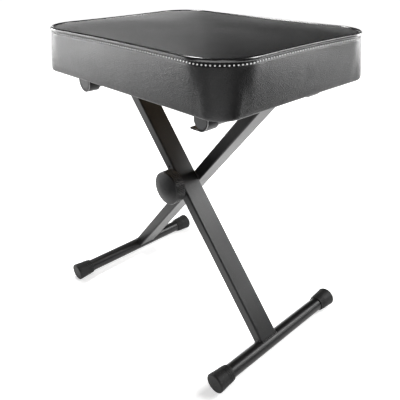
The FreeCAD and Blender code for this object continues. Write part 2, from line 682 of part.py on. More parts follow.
def knob_nodes():
    """Clamp knob and the steel washer that it presses on the outer leg."""
    bolt_bore = BOLT_R + RUNNING_CLEARANCE
    return {
        "knob_washer": washer(
            KNOB_WASHER_R, bolt_bore, OUTER_NEAR_Y - KNOB_WASHER_OUT, OUTER_NEAR_Y - THRUST_CLEARANCE
        ),
        "knob_body": knob_body(),
        "knob_insert": knob_insert(),
    }


def seat_nodes():
    """Seat, from its cover down to the brackets."""
    return {
        "seat_cover": seat_cover(),
        "seat_piping": piping_ring(0),
        "seat_foam": seat_foam(),
        "seat_board": seat_board(),
        "cover_staples": cover_staples(),
        "tee_nuts": tee_nuts(),
        "saddle_near": saddle(-STRAP_CENTRE_Y),
        "saddle_far": saddle(STRAP_CENTRE_Y),
        "saddle_liners": saddle_liners(),
        "hook_near": hook(-STRAP_CENTRE_Y),
        "hook_far": hook(STRAP_CENTRE_Y),
        "hook_liners": hook_liners(),
        "bracket_screws": bracket_screws(),
    }


def main():
    """Write each node's solids to its own STEP file."""
    os.makedirs("parts", exist_ok=True)
    nodes = {**leg_nodes(), **knob_nodes(), **seat_nodes()}
    for name, shape in nodes.items():
        shape.exportStep(f"parts/{name}.step")
        print(f"{name}: {len(shape.Solids)} solids, {shape.Volume:.0f} mm3, valid {shape.isValid()}")


main()
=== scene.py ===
"""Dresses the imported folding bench: padded seat, welds, finishes, studio and camera."""

from __future__ import annotations

import json
import logging
import math
from dataclasses import dataclass, field
from enum import Enum
from typing import Callable

import bmesh
import bpy
from mathutils import Matrix, Vector

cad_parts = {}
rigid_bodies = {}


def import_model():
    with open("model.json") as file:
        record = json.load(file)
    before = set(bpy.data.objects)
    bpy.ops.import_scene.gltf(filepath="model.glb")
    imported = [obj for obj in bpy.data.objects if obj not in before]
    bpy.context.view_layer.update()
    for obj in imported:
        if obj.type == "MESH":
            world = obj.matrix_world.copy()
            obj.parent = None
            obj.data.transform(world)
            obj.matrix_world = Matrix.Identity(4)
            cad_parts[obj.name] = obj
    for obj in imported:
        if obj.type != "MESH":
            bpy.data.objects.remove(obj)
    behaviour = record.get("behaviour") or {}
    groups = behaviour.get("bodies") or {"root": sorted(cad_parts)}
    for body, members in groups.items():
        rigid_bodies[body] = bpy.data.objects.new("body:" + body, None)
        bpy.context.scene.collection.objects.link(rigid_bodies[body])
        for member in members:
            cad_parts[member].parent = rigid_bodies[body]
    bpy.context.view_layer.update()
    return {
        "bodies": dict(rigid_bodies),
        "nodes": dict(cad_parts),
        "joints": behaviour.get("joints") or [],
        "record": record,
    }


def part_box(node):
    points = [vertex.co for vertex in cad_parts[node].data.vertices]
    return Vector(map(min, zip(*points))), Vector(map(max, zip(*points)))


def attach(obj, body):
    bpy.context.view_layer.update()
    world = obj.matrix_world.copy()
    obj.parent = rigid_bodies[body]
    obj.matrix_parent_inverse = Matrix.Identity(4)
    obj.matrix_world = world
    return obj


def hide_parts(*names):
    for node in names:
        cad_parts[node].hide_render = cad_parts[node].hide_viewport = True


Material = bpy.types.Material
Piece = bpy.types.Object
Socket = bpy.types.NodeSocket
Tree = bpy.types.NodeTree

log = logging.getLogger("bench")
MM = 0.001
PATCH_SHARE = 0.6
DUST_COLOR = (0.35, 0.34, 0.33)
DUST_SHARE = 0.25
BUMP_STRENGTH = 0.6


class Slot(Enum):
    """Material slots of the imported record."""

    LEG = "leg_enamel"
    BRACKET = "bracket_enamel"
    STEEL = "plain_steel"
    BRASS = "insert_brass"
    PLUG = "plug_plastic"
    KNOB = "knob_plastic"
    NYLON = "nylon"
    RUBBER = "foot_rubber"
    VINYL = "cover_vinyl"
    FOAM = "seat_foam"
    PLYWOOD = "plywood"


# Shader groups


def link(tree: Tree, source: Socket, target: Socket) -> None:
    """Joins two sockets."""
    tree.links.new(source, target)


def math_node(tree: Tree, operation: str, a: object, b: object) -> Socket:
    """Adds a Math node on two sockets or numbers and returns its result socket."""
    node = tree.nodes.new("ShaderNodeMath")
    node.operation = operation
    for place, value in enumerate((a, b)):
        if isinstance(value, Socket):
            link(tree, value, node.inputs[place])
        else:
            node.inputs[place].default_value = value
    return node.outputs[0]


def ranged(
    tree: Tree, value: object, low: float, high: float, to_low: float, to_high: float
) -> object:
    """Adds a clamped Map Range node, low to to_low and high to to_high, and returns its result socket."""
    node = tree.nodes.new("ShaderNodeMapRange")
    link(tree, value, node.inputs["Value"])
    for place, number in enumerate((low, high, to_low, to_high), start=1):
        node.inputs[place].default_value = number
    return node.outputs["Result"]


def noise(
    tree: Tree, place: object, scale: object, detail: float, roughness: float = 0.5
) -> object:
    """Adds a Noise Texture, its scale a number or a socket, and returns its factor socket."""
    node = tree.nodes.new("ShaderNodeTexNoise")
    link(tree, place, node.inputs["Vector"])
    node.inputs["Detail"].default_value = detail
    node.inputs["Roughness"].default_value = roughness
    if isinstance(scale, Socket):
        link(tree, scale, node.inputs["Scale"])
    else:
        node.inputs["Scale"].default_value = scale
    return node.outputs["Fac"]


def new_group(name: str, inputs: tuple, outputs: tuple) -> tuple:
    """Starts a shader group with float inputs, as (name, value), and float outputs.

    Returns:
        The tree, its input node, its output node and the Object coordinate socket.
    """
    tree = bpy.data.node_groups.new(name, "ShaderNodeTree")
    for input_name, value in inputs:
        socket = tree.interface.new_socket(name=input_name, in_out="INPUT", socket_type="NodeSocketFloat")
        socket.default_value = value
    for output_name in outputs:
        tree.interface.new_socket(name=output_name, in_out="OUTPUT", socket_type="NodeSocketFloat")
    start = tree.nodes.new("NodeGroupInput")
    end = tree.nodes.new("NodeGroupOutput")
    place = tree.nodes.new("ShaderNodeTexCoord").outputs["Object"]
    return tree, start, end, place


def make_grain_group() -> Tree:
    """Builds the grain group: pebbled cells broken up by noise, as a height and a mask."""
    tree, start, end, place = new_group("grain", (("Scale", 900.0), ("Cells", 0.6)), ("Height", "Mask"))
    cells = tree.nodes.new("ShaderNodeTexVoronoi")
    cells.feature = "DISTANCE_TO_EDGE"
    link(tree, place, cells.inputs["Vector"])
    link(tree, start.outputs["Scale"], cells.inputs["Scale"])
    pebble = ranged(tree, cells.outputs["Distance"], 0.0, 0.35, 0.0, 1.0)
    fine = noise(tree, place, math_node(tree, "MULTIPLY", start.outputs["Scale"], 1.7), 3.0)
    weighted = math_node(tree, "MULTIPLY", pebble, start.outputs["Cells"])
    rest = math_node(tree, "SUBTRACT", 1.0, start.outputs["Cells"])
    height = math_node(tree, "ADD", weighted, math_node(tree, "MULTIPLY", fine, rest))
    link(tree, height, end.inputs["Height"])
    link(tree, ranged(tree, height, 0.25, 0.8, 0.0, 1.0), end.inputs["Mask"])
    return tree


def make_wear_group() -> Tree:
    """Builds the wear group: broad patches, scuffs and specks of dust, as masks from 0 to 1."""
    masks = ("Patches", "Scuffs", "Specks")
    tree, start, end, place = new_group("wear", (("Scale", 12.0), ("Dust", 0.5)), masks)
    broad = noise(tree, place, start.outputs["Scale"], 4.0, 0.55)
    link(tree, ranged(tree, broad, 0.35, 0.68, 0.0, 1.0), end.inputs["Patches"])
    stretch = tree.nodes.new("ShaderNodeMapping")
    stretch.inputs["Scale"].default_value = (1.0, 6.0, 1.0)
    link(tree, place, stretch.inputs["Vector"])
    finer = math_node(tree, "MULTIPLY", start.outputs["Scale"], 9.0)
    scratch = noise(tree, stretch.outputs["Vector"], finer, 6.0, 0.7)
    link(tree, ranged(tree, scratch, 0.6, 0.78, 0.0, 1.0), end.inputs["Scuffs"])
    specks = tree.nodes.new("ShaderNodeTexVoronoi")
    link(tree, place, specks.inputs["Vector"])
    specks.inputs["Scale"].default_value = 260.0
    dot = ranged(tree, specks.outputs["Distance"], 0.08, 0.16, 1.0, 0.0)
    link(tree, math_node(tree, "MULTIPLY", dot, start.outputs["Dust"]), end.inputs["Specks"])
    return tree


def group_node(tree: Tree, group: Tree, values: dict) -> bpy.types.Node:
    """Adds a shader group to a tree and sets its inputs by name."""
    node = tree.nodes.new("ShaderNodeGroup")
    node.node_tree = group
    for name, value in values.items():
        node.inputs[name].default_value = value
    return node


def mixed(tree: Tree, first: object, second: tuple, share: object) -> object:
    """Mixes a colour, or a colour socket, with a second colour by a share socket."""
    node = tree.nodes.new("ShaderNodeMix")
    node.data_type = "RGBA"
    if isinstance(first, Socket):
        link(tree, first, node.inputs[6])
    else:
        node.inputs[6].default_value = (*first, 1.0)
    node.inputs[7].default_value = (*second, 1.0)
    link(tree, share, node.inputs["Factor"])
    return node.outputs[2]


def stage_material(name: str, grey: float, roughness: float) -> Material:
    """Makes a plain material without gloss for a stage piece."""
    material = bpy.data.materials.new(name)
    material.use_nodes = True
    shader = material.node_tree.nodes["Principled BSDF"]
    shader.inputs["Base Color"].default_value = (grey, grey, grey, 1.0)
    shader.inputs["Roughness"].default_value = roughness
    shader.inputs["Specular IOR Level"].default_value = 0.0
    return material


@dataclass(frozen=True)
class Finish:
    """One surface finish: colours, gloss and relief, with patches, grain and dust over it.

    Attributes:
        name: the material's name.
        color: main colour, linear.
        second: colour that the patches lean towards, linear.
        roughness: roughness of the clean surface.
        spread: how far the roughness changes over patches and grain.
        metallic: 1 for bare metal.
        specular: specular level.
        coat: clear layer's weight.
        coat_roughness: its roughness.
        sheen: sheen weight.
        grain: grain cells per metre.
        cells: share of pebbled cells in the grain; the rest is fine noise.
        relief: bump distance in metres.
        patch_scale: size of the broad patches, per metre.
        dust: strength of the dust specks.
    """

    name: str
    color: tuple[float, float, float]
    second: tuple[float, float, float]
    roughness: float
    spread: float = 0.08
    metallic: float = 0.0
    specular: float = 0.5
    coat: float = 0.0
    coat_roughness: float = 0.2
    sheen: float = 0.0
    grain: float = 900.0
    cells: float = 0.5
    relief: float = 0.00004
    patch_scale: float = 14.0
    dust: float = 0.0

    def build(self, groups: dict[str, Tree]) -> Material:
        """Makes the material from the shared shader groups."""
        material = bpy.data.materials.new(self.name)
        material.use_nodes = True
        tree = material.node_tree
        shader = tree.nodes["Principled BSDF"]
        grain = group_node(tree, groups["grain"], {"Scale": self.grain, "Cells": self.cells})
        wear = group_node(tree, groups["wear"], {"Scale": self.patch_scale, "Dust": self.dust})
        patches = math_node(tree, "MULTIPLY", wear.outputs["Patches"], PATCH_SHARE)
        pebbles = math_node(tree, "MULTIPLY", grain.outputs["Mask"], 1.0 - PATCH_SHARE)
        tone = mixed(tree, self.color, self.second, math_node(tree, "ADD", patches, pebbles))
        specks = math_node(tree, "MULTIPLY", wear.outputs["Specks"], DUST_SHARE)
        link(tree, mixed(tree, tone, DUST_COLOR, specks), shader.inputs["Base Color"])
        rough = math_node(tree, "MULTIPLY", wear.outputs["Patches"], self.spread)
        scuffed = math_node(tree, "MULTIPLY", wear.outputs["Scuffs"], self.spread)
        rough = math_node(tree, "ADD", rough, scuffed)
        rough = math_node(tree, "ADD", rough, self.roughness)
        link(tree, rough, shader.inputs["Roughness"])
        bump = tree.nodes.new("ShaderNodeBump")
        bump.inputs["Strength"].default_value = BUMP_STRENGTH
        bump.inputs["Distance"].default_value = self.relief
        link(tree, grain.outputs["Height"], bump.inputs["Height"])
        link(tree, bump.outputs["Normal"], shader.inputs["Normal"])
        for name, value in (
            ("Metallic", self.metallic),
            ("Specular IOR Level", self.specular),
            ("Coat Weight", self.coat),
            ("Coat Roughness", self.coat_roughness),
            ("Sheen Weight", self.sheen),
        ):
            shader.inputs[name].default_value = value
        return material


BLACK_ENAMEL = ((0.005, 0.005, 0.0053), (0.008, 0.008, 0.0083))
BLACK_VINYL = ((0.007, 0.007, 0.0073), (0.01, 0.01, 0.0103))
SLOT_FINISHES = (
    Finish(
        "leg_enamel", *BLACK_ENAMEL, 0.3,
        specular=0.36, grain=1400.0, cells=0.2, relief=0.00003, dust=0.2,
    ),
    Finish(
        "bracket_enamel", *BLACK_ENAMEL, 0.38,
        specular=0.32, grain=1400.0, cells=0.2, relief=0.00003, dust=0.2,
    ),
    Finish(
        "plain_steel", (0.56, 0.57, 0.58), (0.42, 0.42, 0.43), 0.34,
        metallic=1.0, grain=2200.0, cells=0.1, relief=0.00002,
    ),
    Finish(
        "insert_brass", (0.66, 0.5, 0.24), (0.55, 0.4, 0.2), 0.3,
        metallic=1.0, grain=2200.0, cells=0.1, relief=0.00002,
    ),
    Finish(
        "plug_plastic", (0.03, 0.03, 0.031), (0.045, 0.045, 0.046), 0.45, grain=1600.0, cells=0.3
    ),
    Finish(
        "knob_plastic", (0.005, 0.005, 0.0053), (0.007, 0.007, 0.0073), 0.27,
        specular=0.35, grain=1800.0, cells=0.3, relief=0.00003, dust=0.2,
    ),
    Finish("nylon", (0.03, 0.03, 0.03), (0.045, 0.045, 0.045), 0.5, grain=1600.0, cells=0.2),
    Finish(
        "foot_rubber", (0.006, 0.006, 0.006), (0.009, 0.009, 0.009), 0.55,
        specular=0.3, grain=1100.0, cells=0.5, relief=0.00006, dust=0.5,
    ),
    Finish(
        "cover_vinyl", *BLACK_VINYL, 0.31,
        specular=0.4, sheen=0.02, grain=520.0, cells=0.75, relief=0.0004, patch_scale=7.0, dust=0.15,
    ),
    Finish("seat_foam", (0.7, 0.66, 0.5), (0.6, 0.56, 0.42), 0.9, grain=700.0, relief=0.0002),
    Finish(
        "plywood", (0.5, 0.34, 0.19), (0.38, 0.24, 0.12), 0.65, grain=300.0, cells=0.1, relief=0.0001
    ),
)
FINISHES: dict[Slot, Finish] = {Slot(finish.name): finish for finish in SLOT_FINISHES}
PIPING = Finish(
    "piping_vinyl", *BLACK_VINYL, 0.2,
    specular=0.9, coat=0.35, coat_roughness=0.16, grain=900.0, cells=0.6, relief=0.00004, patch_scale=30.0,
)
# Light grey of the thin lines along the straps' edges and round the crossbar plugs: a painted highlight on
# those edges.
PAINTED_EDGE_HIGHLIGHT = Finish(
    "painted_edge_highlight", (0.5, 0.5, 0.51), (0.38, 0.38, 0.39), 0.35,
    grain=1800.0, cells=0.2, relief=0.00003, patch_scale=60.0,
)
THREAD = Finish(
    "seam_thread", (0.8, 0.8, 0.8), (0.9, 0.9, 0.9), 0.4,
    grain=3000.0, cells=0.2, relief=0.00003, patch_scale=90.0,
)


@dataclass
class Paintbox:
    """Every material of the bench, made once."""

    groups: dict[str, Tree] = field(default_factory=dict)
    made: dict[str, Material] = field(default_factory=dict)

    def material(self, finish: Finish) -> Material:
        """Returns a finish's material, making it the first time."""
        if not self.groups:
            self.groups = {"grain": make_grain_group(), "wear": make_wear_group()}
        if finish.name not in self.made:
            self.made[finish.name] = finish.build(self.groups)
        return self.made[finish.name]

    def dress(self, piece: Piece, finish: Finish) -> None:
        """Gives a piece one finish all over."""
        piece.data.materials.clear()
        piece.data.materials.append(self.material(finish))

    def dress_nodes(self, frame: dict) -> None:
        """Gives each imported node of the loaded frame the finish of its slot."""
        for part in frame["record"]["subparts"]:
            self.dress(frame["nodes"][part["node"]], FINISHES[Slot(part["material_slot"])])


# Helpers for modelling


def deselect() -> None:
    """Leaves nothing selected."""
    bpy.ops.object.select_all(action="DESELECT")


def pick(piece: Piece) -> None:
    """Makes a piece the only selected and the active object."""
    deselect()
    piece.select_set(True)
    bpy.context.view_layer.objects.active = piece


def settle(piece: Piece) -> None:
    """Moves a piece's place, turn and size into its mesh."""
    pick(piece)
    bpy.ops.object.transform_apply(location=True, rotation=True, scale=True)


def placed(name: str, data: bpy.types.ID) -> Piece:
    """Makes an object of its data and puts it in the scene."""
    piece = bpy.data.objects.new(name, data)
    bpy.context.scene.collection.objects.link(piece)
    return piece


def grid(name: str, columns: int, rows: int, size: float, height: float = 0.0) -> Piece:
    """Adds a flat square grid at a height over the floor's middle."""
    deselect()
    bpy.ops.mesh.primitive_grid_add(
        x_subdivisions=columns, y_subdivisions=rows, size=size, location=(0.0, 0.0, height)
    )
    card = bpy.context.view_layer.objects.active
    card.name = name
    return card


def apply_modifiers(piece: Piece) -> None:
    """Applies every modifier of a piece, in order."""
    pick(piece)
    for modifier in list(piece.modifiers):
        bpy.ops.object.modifier_apply(modifier=modifier.name)


def smoothed(piece: Piece) -> Piece:
    """Gives a piece smooth shading."""
    pick(piece)
    bpy.ops.object.shade_smooth()
    return piece


def joined(pieces: list[Piece], name: str) -> Piece:
    """Joins mesh objects into one and names it."""
    deselect()
    for piece in pieces:
        piece.select_set(True)
    bpy.context.view_layer.objects.active = pieces[0]
    if len(pieces) > 1:
        bpy.ops.object.join()
    pieces[0].name = name
    pieces[0].data.name = name
    return pieces[0]


def tube_along(
    points: list[Vector],
    radius: float,
    name: str,
    closed: bool,
    sides: int = 3,
    swell: Callable | None = None,
) -> Piece:
    """Makes a round mesh tube along points.

    Args:
        points: the path's points.
        radius: the tube's radius.
        name: the piece's name.
        closed: whether the path closes on itself.
        sides: bevel resolution of the section.
        swell: radius factor from a point's number, if it changes.

    Returns:
        The tube, as a mesh.
    """
    curve = bpy.data.curves.new(name, "CURVE")
    curve.dimensions = "3D"
    curve.bevel_depth = radius
    curve.bevel_resolution = sides
    curve.use_fill_caps = not closed
    spline = curve.splines.new("POLY")
    spline.points.add(len(points) - 1)
    for number, (target, point) in enumerate(zip(spline.points, points)):
        target.co = (*point, 1.0)
        target.radius = swell(number) if swell else 1.0
    spline.use_cyclic_u = closed
    pick(placed(name, curve))
    bpy.ops.object.convert(target="MESH")
    return smoothed(bpy.context.view_layer.objects.active)


# Seat


CLOTH = {
    "quality": 6,
    "mass": 0.35,
    "tension_stiffness": 25.0,
    "compression_stiffness": 25.0,
    "shear_stiffness": 12.0,
    "bending_stiffness": 1.5,
}


@dataclass
class SeatOutline:
    """The seat's plan: rounded corners joined by sides that pull in.

    Attributes:
        low: lowest corner of the seat's side walls in plan.
        high: highest corner in plan.
        side_points: points along each long and each short side.
        corner_points: points along each corner.
    """

    low: Vector
    high: Vector
    side_points: tuple[int, int] = (58, 42)
    corner_points: int = 18

    def points(self, z: float, inset: float, corner: float, draw_in: float) -> list[Vector]:
        """Works out the outline at one height, anticlockwise from the +X side's middle.

        Args:
            z: height.
            inset: distance in from the walls.
            corner: corner radius.
            draw_in: how far the sides pull in at their middles.
        """
        centre = (self.low + self.high) / 2
        half_x = (self.high.x - self.low.x) / 2 - inset
        half_y = (self.high.y - self.low.y) / 2 - inset
        corner = min(corner, half_x * 0.95, half_y * 0.95)
        reach_x, reach_y = half_x - corner, half_y - corner
        long_r = (reach_x**2 + draw_in**2) / (2 * draw_in) - corner
        short_r = (reach_y**2 + draw_in**2) / (2 * draw_in) - corner
        short_c = Vector((half_x - draw_in + short_r, 0.0))
        long_c = Vector((0.0, half_y - draw_in + long_r))
        corner_c = Vector((reach_x, reach_y))
        on_short = short_c + (corner_c - short_c) * short_r / (short_r + corner)
        on_long = long_c + (corner_c - long_c) * long_r / (long_r + corner)
        swing = math.asin(on_short.y / short_r)
        lean = math.asin(on_long.x / long_r)
        quarter: list[Vector] = []
        half_count = self.side_points[1] // 2
        for step in range(half_count):
            turn = swing * step / half_count
            quarter.append(short_c + Vector((-math.cos(turn), math.sin(turn))) * short_r)
        begin = math.atan2(on_short.y - corner_c.y, on_short.x - corner_c.x)
        end = math.atan2(on_long.y - corner_c.y, on_long.x - corner_c.x)
        for step in range(self.corner_points):
            turn = begin + (end - begin) * step / self.corner_points
            quarter.append(corner_c + Vector((math.cos(turn), math.sin(turn))) * corner)
        half_count = self.side_points[0] // 2
        for step in range(half_count):
            turn = lean * (1.0 - step / half_count)
            quarter.append(long_c + Vector((math.sin(turn), -math.cos(turn))) * long_r)
        middle = Vector((0.0, half_y - draw_in))
        upper = quarter + [middle] + [Vector((-p.x, p.y)) for p in reversed(quarter[1:])]
        west = Vector((-quarter[0].x, 0.0))
        lower = [Vector((p.x, -p.y)) for p in reversed(upper[1:])]
        flat = upper + [west] + lower
        return [Vector((centre.x + p.x, centre.y + p.y, z)) for p in flat]


@dataclass
class Cushion:
    """The padded seat: cushion, piping and stitches, on the seat body.

    Attributes:
        bottom_corner: corner radius at the bottom edge.
        seam_corner: corner radius at the seam.
        bottom_pull: how far the sides pull in at the bottom.
        seam_pull: how far they pull in at the seam.
        crown_start: crown's height before it is blown up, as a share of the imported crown.
        pressure: cloth pressure.
        frames: steps of the simulation.
        side_give: share of the sides' swelling that is kept; the crown keeps all of it.
        move_cap: farthest that the simulation may move a point.
        corner_start: height over the bottom where the corner radius starts to grow.
        corner_stop: height under the seam where it is full.
        held_under: height over the bottom up to which the cover is held.
        held_seam: heights below and above the seam between which it is held.
        fold_zone: how far from the seat's ends the corner folds can lie.
        fold_place: a fold's place round the corner, as a share of the quarter turn.
        fold_width: its width, as such a share.
        fold_depth: its depth.
        piping_radius: the welt's radius.
        piping_inset: the welt's centre in from the walls.
        stitch_pitch: distance from stitch to stitch.
        stitch_drop: stitches below the welt's centre.
        stitch_lift: stitches' middle out from the cushion's side.
        stitch_slant: their slope along the seam.
        stitch_half: their half length as a share of the pitch, half depth and half height.
    """

    outline: SeatOutline
    bottom: float
    seam: float
    top: float
    bottom_corner: float = 29 * MM
    seam_corner: float = 54 * MM
    bottom_pull: float = 1.0 * MM
    seam_pull: float = 4.0 * MM
    crown_start: float = 0.8
    pressure: float = 4.0
    frames: int = 20
    side_give: float = 0.35
    move_cap: float = 5.0 * MM
    corner_start: float = 4 * MM
    corner_stop: float = 6 * MM
    held_under: float = 2 * MM
    held_seam: tuple[float, float] = (5 * MM, 3.2 * MM)
    fold_zone: float = 50 * MM
    fold_place: float = 0.14
    fold_width: float = 0.1
    fold_depth: float = 0.9 * MM
    piping_radius: float = 2.5 * MM
    piping_inset: float = 1.0 * MM
    stitch_pitch: float = 5.2 * MM
    stitch_drop: float = 4.2 * MM
    stitch_lift: float = 0.35 * MM
    stitch_slant: float = math.radians(-6)
    stitch_half: tuple[float, float, float] = (0.23, 0.9 * MM, 0.95 * MM)

    def corner_at(self, z: float) -> float:
        """Corner radius at a height."""
        low, high = self.bottom + self.corner_start, self.seam - self.corner_stop
        share = min(1.0, max(0.0, (z - low) / (high - low)))
        return self.bottom_corner + (self.seam_corner - self.bottom_corner) * share

    def pull_at(self, z: float) -> float:
        """Draw-in of the sides at a height."""
        share = min(1.0, max(0.0, (z - self.bottom) / (self.seam - self.bottom)))
        return self.bottom_pull + (self.seam_pull - self.bottom_pull) * share

    def ring(self, z: float, inset: float) -> list[Vector]:
        """Outline at a height on the cushion's side."""
        return self.outline.points(z, inset, self.corner_at(z), self.pull_at(z))

    def levels(self) -> list[list[Vector]]:
        """Rings of points from the opening under the board, round the sides and over the crown."""
        rings: list[list[Vector]] = []
        wrap, lift = 20 * MM, 5 * MM
        for z in (self.bottom + lift, self.bottom):
            rings.append(self.outline.points(z, wrap, self.bottom_corner - wrap, self.bottom_pull))
        for inset in (15 * MM, 9 * MM, 5 * MM, 3 * MM):
            corner = self.bottom_corner - inset * 0.8
            rings.append(self.outline.points(self.bottom, inset, corner, self.bottom_pull))
        for rise, inset in ((0.4, 1.7), (1.4, 0.8), (3.0, 0.3)):
            rings.append(self.ring(self.bottom + rise * MM, inset * MM))
        wall_steps = 14
        height = self.seam - self.bottom
        for step in range(1, wall_steps):
            share = step / wall_steps
            bulge = math.sin(math.pi * share) * 0.3 * MM
            rings.append(self.ring(self.bottom + 3 * MM + (height - 6 * MM) * share, -bulge))
        for drop, inset in ((5.8, 0.1), (4.9, 1.1), (3.7, 1.2), (2.8, 1.9)):
            rings.append(self.ring(self.seam - drop * MM, inset * MM))
        rings.append(self.ring(self.seam, 2.4 * MM))
        half_y = (self.outline.high.y - self.outline.low.y) / 2
        rise = (self.top - self.seam) * self.crown_start
        for inset in (3.5, 5.5, 8, 11, 15, 19, 24, 29, 35, 41, 48, 56, 64, 72, 81, 90, 100):
            reach = inset * MM
            share = min(1.0, reach / (half_y * 0.9))
            left = 1.0 - reach / half_y
            z = self.seam + 0.5 * MM + rise * (1.0 - (1.0 - share) ** 2.6)
            pull = max(0.6 * MM, self.seam_pull * left)
            corner = max(12 * MM, self.seam_corner * (0.35 + 0.65 * left))
            rings.append(self.outline.points(z, reach, corner, pull))
        return rings

    def shell(self) -> Piece:
        """Makes the closed cushion from its rings, not yet simulated."""
        mesh = bmesh.new()
        rings = [[mesh.verts.new(point) for point in ring] for ring in self.levels()]
        count = len(rings[0])
        for lower, upper in zip(rings, rings[1:]):
            for number in range(count):
                following = (number + 1) % count
                mesh.faces.new((lower[number], lower[following], upper[following], upper[number]))
        data = bpy.data.meshes.new("seat_cushion")
        mesh.to_mesh(data)
        mesh.free()
        piece = placed("seat_cushion", data)
        self.close_ends(piece)
        return piece

    def close_ends(self, piece: Piece) -> None:
        """Fills the innermost rings of the crown and of the underside with grids."""
        middle = (self.bottom + self.seam) / 2
        for upper in (True, False):
            pick(piece)
            bpy.ops.object.mode_set(mode="EDIT")
            bpy.ops.mesh.select_mode(type="EDGE")
            bpy.ops.mesh.select_all(action="DESELECT")
            edit = bmesh.from_edit_mesh(piece.data)
            for edge in edit.edges:
                edge.select_set(edge.is_boundary and (edge.verts[0].co.z > middle) == upper)
            bmesh.update_edit_mesh(piece.data)
            bpy.ops.mesh.fill_grid(span=self.outline.side_points[1] + self.outline.corner_points)
            bpy.ops.object.mode_set(mode="OBJECT")
        pick(piece)
        bpy.ops.object.mode_set(mode="EDIT")
        bpy.ops.mesh.select_all(action="SELECT")
        bpy.ops.mesh.normals_make_consistent(inside=False)
        bpy.ops.object.mode_set(mode="OBJECT")

    def middle_and_half(self) -> tuple[Vector, Vector]:
        """Middle of the seat's plan, and half its size."""
        return (self.outline.low + self.outline.high) / 2, (self.outline.high - self.outline.low) / 2

    def pin_weight(self, point: Vector) -> float:
        """How firmly the upholstery is held at a point: at the seam and under the board."""
        if point.z < self.bottom + self.held_under:
            return 1.0
        low, high = self.seam - self.held_seam[0], self.seam + self.held_seam[1]
        return 1.0 if low < point.z < high and self.near_edge(point) else 0.0

    def near_edge(self, point: Vector) -> bool:
        """Whether a point of the seam's height lies at the rim rather than on the crown."""
        centre, half = self.middle_and_half()
        return abs(point.x - centre.x) > half.x * 0.9 or abs(point.y - centre.y) > half.y * 0.9

    def blow_up(self, piece: Piece) -> None:
        """Swells the cushion with cloth pressure, held at the seam, and caps each point's move."""
        rest = [vertex.co.copy() for vertex in piece.data.vertices]
        pins = piece.vertex_groups.new(name="held")
        for vertex in piece.data.vertices:
            pins.add([vertex.index], self.pin_weight(vertex.co), "REPLACE")
        cloth = piece.modifiers.new("cloth", "CLOTH")
        for name, value in CLOTH.items():
            setattr(cloth.settings, name, value)
        cloth.settings.use_pressure = True
        cloth.settings.uniform_pressure_force = self.pressure
        cloth.settings.vertex_group_mass = "held"
        cloth.settings.effector_weights.gravity = 0.0
        cloth.point_cache.frame_start = 1
        cloth.point_cache.frame_end = self.frames
        scene = bpy.context.scene
        for number in range(1, self.frames + 1):
            scene.frame_set(number)
        apply_modifiers(piece)
        scene.frame_set(1)
        for vertex, start in zip(piece.data.vertices, rest):
            move = vertex.co - start
            kept = 1.0 if start.z > self.seam else self.side_give
            if move.length > self.move_cap:
                kept *= self.move_cap / move.length
            vertex.co = start + move * kept

    def fit_crown(self, piece: Piece) -> None:
        """Brings the crown's top to its packed height."""
        highest = max(vertex.co.z for vertex in piece.data.vertices)
        scale = (self.top - self.seam) / (highest - self.seam)
        for vertex in piece.data.vertices:
            if vertex.co.z > self.seam:
                vertex.co.z = self.seam + (vertex.co.z - self.seam) * scale

    def gather_corners(self, piece: Piece) -> None:
        """Draws shallow upright folds into the sides where they turn into the corners."""
        centre, half = self.middle_and_half()
        height = self.seam - self.bottom
        zone = self.fold_zone
        for vertex in piece.data.vertices:
            share = (vertex.co.z - self.bottom) / height
            if not 0.02 < share < 0.97:
                continue
            x = (abs(vertex.co.x - centre.x) - (half.x - zone)) / zone
            y = (abs(vertex.co.y - centre.y) - (half.y - zone)) / zone
            if x < -0.6 or y < -0.6:
                continue
            turn = math.atan2(max(y, 0.0), max(x, 0.0)) / (math.pi / 2)
            places = (self.fold_place, 1.0 - self.fold_place)
            fold = sum(math.exp(-(((turn - place) / self.fold_width) ** 2)) for place in places)
            fade = math.sin(math.pi * min(1.0, max(0.0, share))) ** 0.6
            inward = Vector((centre.x - vertex.co.x, centre.y - vertex.co.y, 0.0)).normalized()
            vertex.co += inward * (fold * fade * self.fold_depth)

    def build(self, paints: Paintbox) -> Piece:
        """Makes the finished cushion."""
        piece = self.shell()
        self.blow_up(piece)
        self.fit_crown(piece)
        self.gather_corners(piece)
        smooth = piece.modifiers.new("smooth", "SUBSURF")
        smooth.levels = smooth.render_levels = 1
        apply_modifiers(piece)
        smoothed(piece)
        paints.dress(piece, FINISHES[Slot.VINYL])
        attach(piece, "seat")
        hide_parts("seat_cover", "seat_foam")
        return piece

    def welt(self, paints: Paintbox) -> Piece:
        """Makes the piping along the seam."""
        path = self.outline.points(self.seam, self.piping_inset, self.seam_corner, self.seam_pull)
        piece = tube_along(path, self.piping_radius, "seat_welt", closed=True, sides=4)
        paints.dress(piece, PIPING)
        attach(piece, "seat")
        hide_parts("seat_piping")
        return piece

